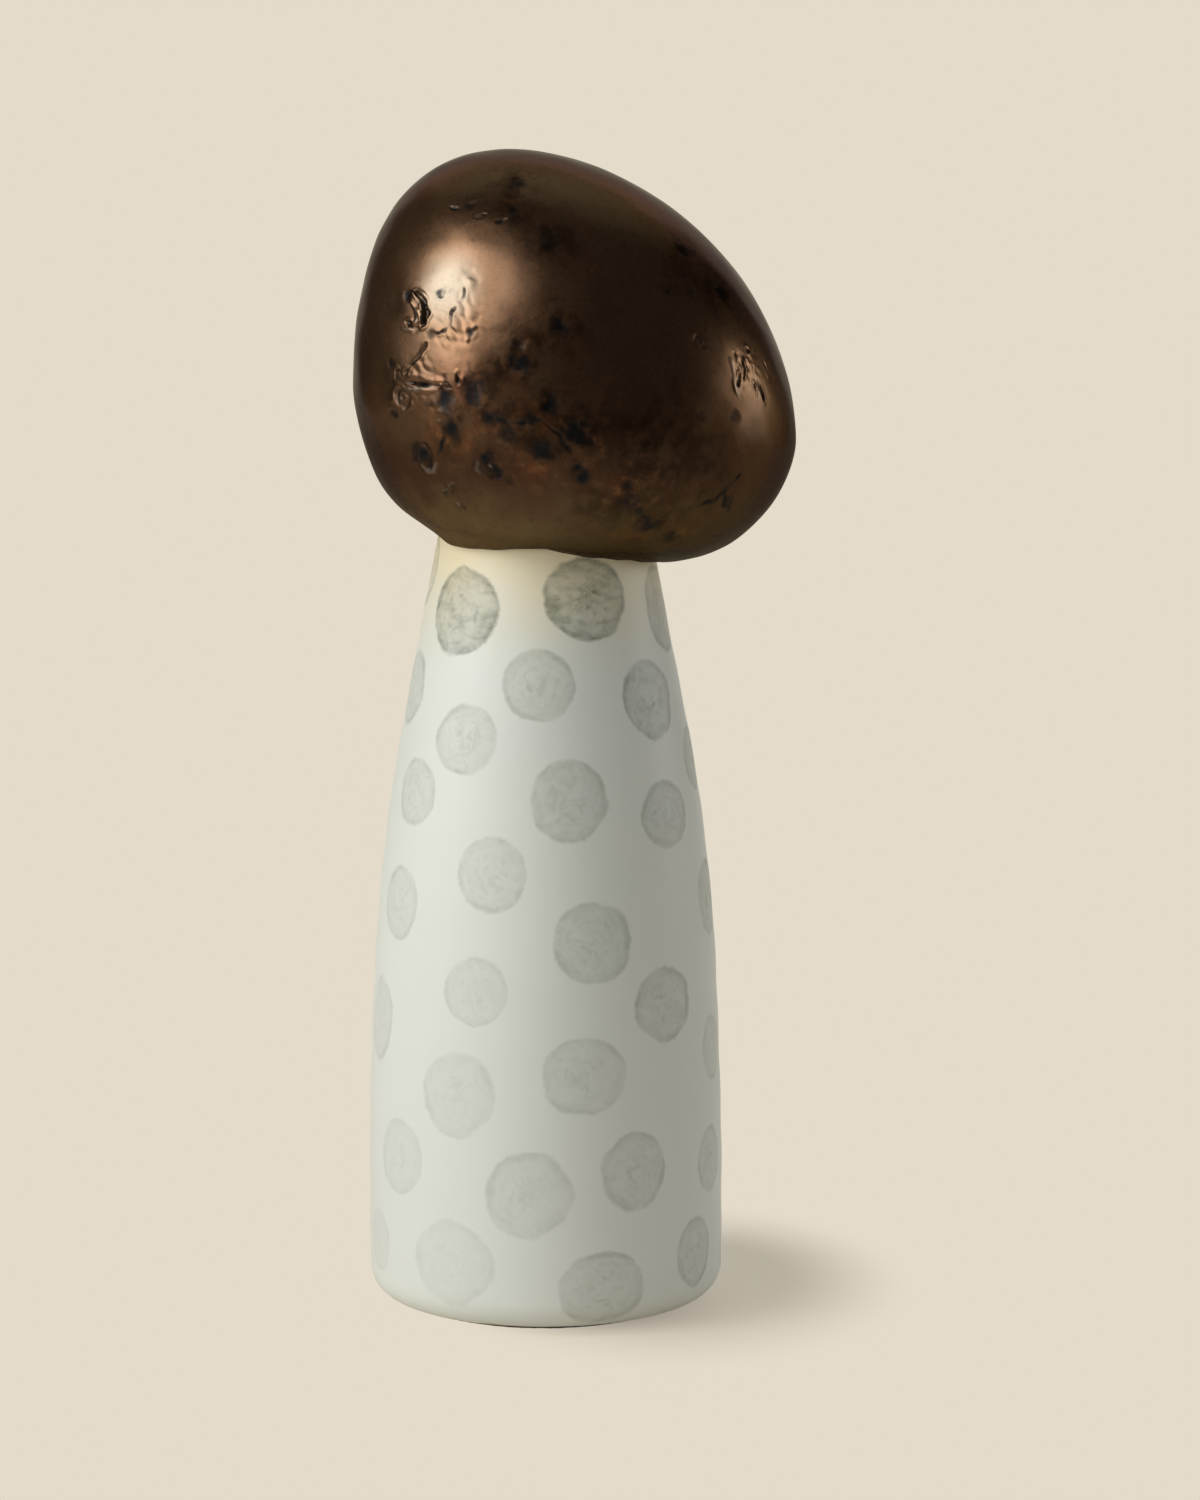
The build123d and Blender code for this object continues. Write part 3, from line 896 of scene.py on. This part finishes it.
# bronze lustre glaze: metal-bearing, dark brown, rusty round the marks, blue-black where it pools, and olive
# at the lip
bronzeSet = {
    "metal": ("#785A43", "#8E6B4E"),
    "metallic": 0.92,
    "lustre": (0.27, 0.3),
    # the painted highlight: its light colour, its middle on the skin, and the band in mm over which it fades
    "thick": "#8A8471",
    "highlightMiddle": (-0.022, -0.039, 0.248),
    "highlightBand": (12, 2),
    # darker brown towards the lip: painted shade that keeps the floor's reflection there dim
    "lower": "#4D3728",
    "lowerBand": (240, 214),
    "drift": "#54432B",
    # olive at the lip; the lighter left colour is a painted reflection of the lit stem below
    "run": ("#55472C", "#806C4F"),
    "runBand": (213, 192),
    "runWaver": 14,
    "leftBand": (20, -22),
    "rust": "#74462A",
    "cloud": "#271B12",
    "fleck": "#86603F",
    # dark glaze in patches, and the painted shade at the lower right
    "smokeAndShade": "#1F1710",
    "pool": "#181D21",
    # painted highlight along raised edges
    "glintTone": "#8D8375",
    "clay": ("#5B3A28", "#8C6A4C"),
    "clayRough": 0.8,
    "coat": (0.2, 0.95),
    "coatRough": 0.2,
    "edgeTint": "#717359",
}
made, add, shader, place = startMaterial("bronze lustre stoneware glaze")
across = add("SeparateXYZ", (place,), out="X")
height = across.node.outputs["Z"]
pooledHere, smokeShadeHere, glintHere, flashHere, bareHere = [
    add("Attribute", {}, out="Fac", attribute_name=name)
    for name in ("pooled", "smokyAndShaded", "glintShare", "flash", "bare")
]
mottle, drift, patches, clouds, spots, crumbs, grit, peel = [
    add("TexNoise", {"Vector": place, "Scale": 1 / (size * mm), "Detail": detail})
    for size, detail in ((1.1, 3), (24, 3), (8, 5), (5, 4), (3.2, 4), (1.5, 3), (0.8, 3), (1.6, 3))
]

# a painted highlight at the left front, lighter there and with the fullest coat; duller lower down and darker
# as painted shade; olive at the lip, lighter towards the left as a painted reflection of the lit stem
fromHighlight = add("VectorMath", (place, bronzeSet["highlightMiddle"]), out="Value", operation="DISTANCE")
lipHeight = add("Math", (patches, bronzeSet["runWaver"] * mm, height), operation="MULTIPLY_ADD")
thick, lower, lip = [
    add("MapRange", (value, low * mm, high * mm, 0, most), **smooth)
    for value, (low, high), most in (
        (fromHighlight, bronzeSet["highlightBand"], 1),
        (lipHeight, bronzeSet["lowerBand"], 1),
        (lipHeight, bronzeSet["runBand"], 0.9),
    )
]
paintedHighlight = add("Math", (thick, 0.65), operation="MULTIPLY")
drift = add("MapRange", (drift, 0.5, 0.75, 0, 0.45))
# painted reflection: the lip's olive lightens towards the left, where the stem below it is lit
low, high = bronzeSet["leftBand"]
paintedLitLeft = add("MapRange", (across, low * mm, high * mm))

# rust, clouds and flecks round the buds, darker glaze in the dark patches and painted shade in those at the
# lower right,
# then the pools: all ragged, because the glaze breaks up in spots of 1 to 8 mm
shares = []
for where, *span in (
    (flashHere, patches, 0.44, 0.62, 0, 0.8),
    (flashHere, clouds, 0.48, 0.6, 0, 0.8),
    (flashHere, spots, 0.46, 0.34, 0, 0.7),
    (smokeShadeHere, spots, 0.36, 0.62, 0.35, 1),
):
    part = add("MapRange", span)
    shares.append(add("Math", (part, where), operation="MULTIPLY"))
rust, cloudy, flecks, smokeAndShade = shares
pools = add("Math", (crumbs, 1.1, -0.6), operation="MULTIPLY_ADD")
pools = add("Math", (pools, pooledHere), operation="ADD")
pools = add("MapRange", (pools, 0, 0.95, 0, 0.95))
colour, run, clay = [
    add("Mix", {0: pattern, 6: hexColour(first), 7: hexColour(second)}, **asColour)
    for pattern, (first, second) in (
        (mottle, bronzeSet["metal"]), (paintedLitLeft, bronzeSet["run"]), (grit, bronzeSet["clay"]),
    )
]
for share, paint in (
    (paintedHighlight, hexColour(bronzeSet["thick"])),
    (lower, hexColour(bronzeSet["lower"])),
    (drift, hexColour(bronzeSet["drift"])),
    (lip, run),
    (rust, hexColour(bronzeSet["rust"])),
    (cloudy, hexColour(bronzeSet["cloud"])),
    (flecks, hexColour(bronzeSet["fleck"])),
    (smokeAndShade, hexColour(bronzeSet["smokeAndShade"])),
    (pools, hexColour(bronzeSet["pool"])),
    (glintHere, hexColour(bronzeSet["glintTone"])),
    (bareHere, clay),
):
    colour = add("Mix", {0: share, 6: colour, 7: paint}, **asColour)
metal = add("MapRange", (bareHere, 0.2, 0.7, bronzeSet["metallic"], 0))
rough = add("MapRange", (mottle, 0.3, 0.7, *bronzeSet["lustre"]))
for part, more in ((lower, 0.2), (pooledHere, 0.15)):
    rough = add("Math", (part, more, rough), operation="MULTIPLY_ADD")
rough = add("Mix", {0: bareHere, 2: rough, 3: bronzeSet["clayRough"]}, data_type="FLOAT")

# a glassy coat, fullest at the painted highlight, thinner towards the lip, in the pools and on bare clay
coat = add("MapRange", (thick, 0, 1, *bronzeSet["coat"]))
dry = add("Math", (pooledHere, 0.75), operation="MULTIPLY")
for part in (bareHere, lower):
    dry = add("Math", (dry, part), operation="MAXIMUM")
coat = add("Mix", {0: dry, 2: coat, 3: 0.05}, data_type="FLOAT")
relief = add("Math", (spots, flashHere), operation="MULTIPLY")
relief = add("Math", (relief, 6, peel), operation="MULTIPLY_ADD")
bump = add("Bump", {"Height": relief, "Distance": 0.06 * mm, "Strength": 0.25})
fillInputs(shader, {
    "Base Color": colour, "Roughness": rough, "Metallic": metal, "Coat Weight": coat, "Normal": bump,
    "Coat Roughness": bronzeSet["coatRough"], "Specular Tint": hexColour(bronzeSet["edgeTint"]),
})
cap.data.materials.append(made)

# agglomerated cork: tan grains of 1 to 3 mm with dark bark flecks
made, add, shader, place = startMaterial("agglomerated cork")
grains = add("TexVoronoi", {"Vector": place, "Scale": 1 / (1.8 * mm)})
grainTone = add("SeparateColor", (grains.node.outputs["Color"],))
bark = add("MapRange", (grainTone, 0.1, 0.06))
pores = add("TexNoise", {"Vector": place, "Scale": 1 / (0.4 * mm), "Detail": 2})
colour = hexColour("#9B6F45")
for share, code in ((grainTone, "#CBA070"), (bark, "#4A2F1C"), (pores, "#B98C5C")):
    colour = add("Mix", {0: share, 6: colour, 7: hexColour(code)}, **asColour)
bump = add("Bump", {"Height": grains, "Distance": 0.2 * mm, "Strength": 0.6})
fillInputs(shader, {"Base Color": colour, "Normal": bump, "Roughness": 0.85})
cork.data.materials.append(made)

# pressed wool felt: matt, grey-brown, fibres in every direction
made, add, shader, place = startMaterial("pressed wool felt")
fibre = add("TexNoise", {"Vector": place, "Scale": 1 / (0.7 * mm), "Detail": 5, "Distortion": 2})
wool = add("Mix", {0: fibre, 6: hexColour("#3A362F"), 7: hexColour("#6B655A")}, **asColour)
bump = add("Bump", {"Height": fibre, "Distance": 0.25 * mm, "Strength": 0.8})
fillInputs(shader, {"Base Color": wool, "Normal": bump, "Roughness": 0.95, "Sheen Weight": 0.3})
felt.data.materials.append(made)
print("materials done")

# floor and backdrop, one beige
stageSet = {
    "beige": "#E4DBCA",
    "front": -0.55,
    "back": 1.6,
    "half": 1.3,
    "bend": 0.4,
    "top": 1.9,
    "litMiddle": (0.031, 0.010, 0.0),  # here the floor shows its own light and shade, elsewhere an even beige
    "litStretch": (1.0, 0.72, 1.0),
    "flatBand": (0.026, 0.062),
    "flatLeast": 0.43,
}
bpy.ops.object.select_all(action="DESELECT")
bpy.ops.mesh.primitive_plane_add(size=1)
floor = bpy.context.object
floor.name = "Floor"
goTo("EDIT")
bpy.ops.mesh.select_all(action="SELECT")
bpy.ops.transform.resize(value=(2 * stageSet["half"], stageSet["back"] - stageSet["front"], 1))
middle = (stageSet["front"] + stageSet["back"]) / 2
bpy.ops.transform.translate(value=(0, middle, 0))
goTo("OBJECT")
for edge in floor.data.edges:
    edge.select = all(floor.data.vertices[i].co.y > middle for i in edge.vertices)
for vert in floor.data.vertices:
    vert.select = vert.co.y > middle
for face in floor.data.polygons:
    face.select = False
goTo("EDIT")
bpy.ops.mesh.select_mode(type="EDGE")
last = Vector((0, 0, 0))
for k in range(1, 13):
    turn = math.radians(7.5 * k)
    now = Vector((0, math.sin(turn), 1 - math.cos(turn))) * stageSet["bend"]
    bpy.ops.mesh.extrude_edges_move(TRANSFORM_OT_translate={"value": now - last})
    last = now
bpy.ops.mesh.extrude_edges_move(TRANSFORM_OT_translate={"value": (0, 0, stageSet["top"])})
goTo("OBJECT")
bpy.ops.object.shade_smooth()

made, add, shader, place = startMaterial("beige studio paper")
beige = hexColour(stageSet["beige"])
fillInputs(shader, {"Base Color": beige, "Roughness": 1, "Specular IOR Level": 0})
place = add("VectorMath", (place, stageSet["litStretch"]), operation="MULTIPLY")
away = add("VectorMath", (place, stageSet["litMiddle"]), out="Value", operation="DISTANCE")
flat = add("MapRange", (away, *stageSet["flatBand"], stageSet["flatLeast"], 1), **smooth)
ray = add("LightPath", {}).node.outputs
seen = add("Math", (ray["Is Camera Ray"], ray["Is Glossy Ray"]), operation="ADD")
seen = add("Math", (seen, ray["Is Transmission Ray"]), operation="ADD", use_clamp=True)
flat = add("Math", (flat, seen), operation="MULTIPLY")
glow = add("Emission", {"Color": beige})
both = add("MixShader", (flat, shader.outputs[0], glow))
fillInputs(made.node_tree.nodes["Material Output"], {"Surface": both})
floor.data.materials.append(made)

# lamps: a softbox at the left, brighter near its middle, a weaker one at the right, low fills all round that
# do not show in the glaze, and a dim room
lightSet = {
    "lamps": {  # degrees round from the front, degrees up, width, height, lean, watts, shows in the glaze
        "key": (-63, 29, 1.36, 0.66, 38, 4.75, True),
        "core": (-66, 23, 0.44, 0.95, 0, 2.8, True),
        "side": (103, 5.5, 0.4, 0.44, 0, 1.5, True),
        "fill": (-32, 1, 0.9, 0.44, 0, 3.75, False),
        "edge": (103, 0, 0.6, 0.44, 0, 1.5, False),
        "back": (172, 6, 1.0, 0.5, 0, 3.0, False),
    },
    "away": 1.0,
    "aim": (0.0, 0.0, 0.235),
    "room": "#2B2A29",
    "ceiling": "#95A09C",
    "ceilingWay": (0.0, 0.62, 0.78),
    "ceilingFrom": 0.76,
}
for name, (around, above, wide, high, lean, watts, shows) in lightSet["lamps"].items():
    around, above, lean = [math.radians(angle) for angle in (around, above, lean)]
    way = Vector((math.sin(around) * math.cos(above), -math.cos(around) * math.cos(above), math.sin(above)))
    bpy.ops.object.light_add(type="AREA", location=Vector(lightSet["aim"]) + way * lightSet["away"])
    box = bpy.context.object
    box.name = name
    box.rotation_euler = (way.to_track_quat("Z", "Y") @ Quaternion((0, 0, 1), lean)).to_euler()
    box.data.shape = "ELLIPSE"
    box.data.size = wide
    box.data.size_y = high
    box.data.energy = watts
    box.visible_camera = False
    box.visible_glossy = shows
world = bpy.data.worlds.new("studio")
scene.world = world
world.use_nodes = True
add = partial(addNode, world.node_tree)
way = add("TexCoord", {}, out="Generated")
up = add("VectorMath", (way, lightSet["ceilingWay"]), out="Value", operation="DOT_PRODUCT")
overhead = add("MapRange", (up, lightSet["ceilingFrom"], 1), **smooth)
room, ceiling = [hexColour(lightSet[name]) for name in ("room", "ceiling")]
sky = add("Mix", {0: overhead, 6: room, 7: ceiling}, **asColour)
fillInputs(world.node_tree.nodes["Background"], {"Color": sky})
print("stage and lamps done")
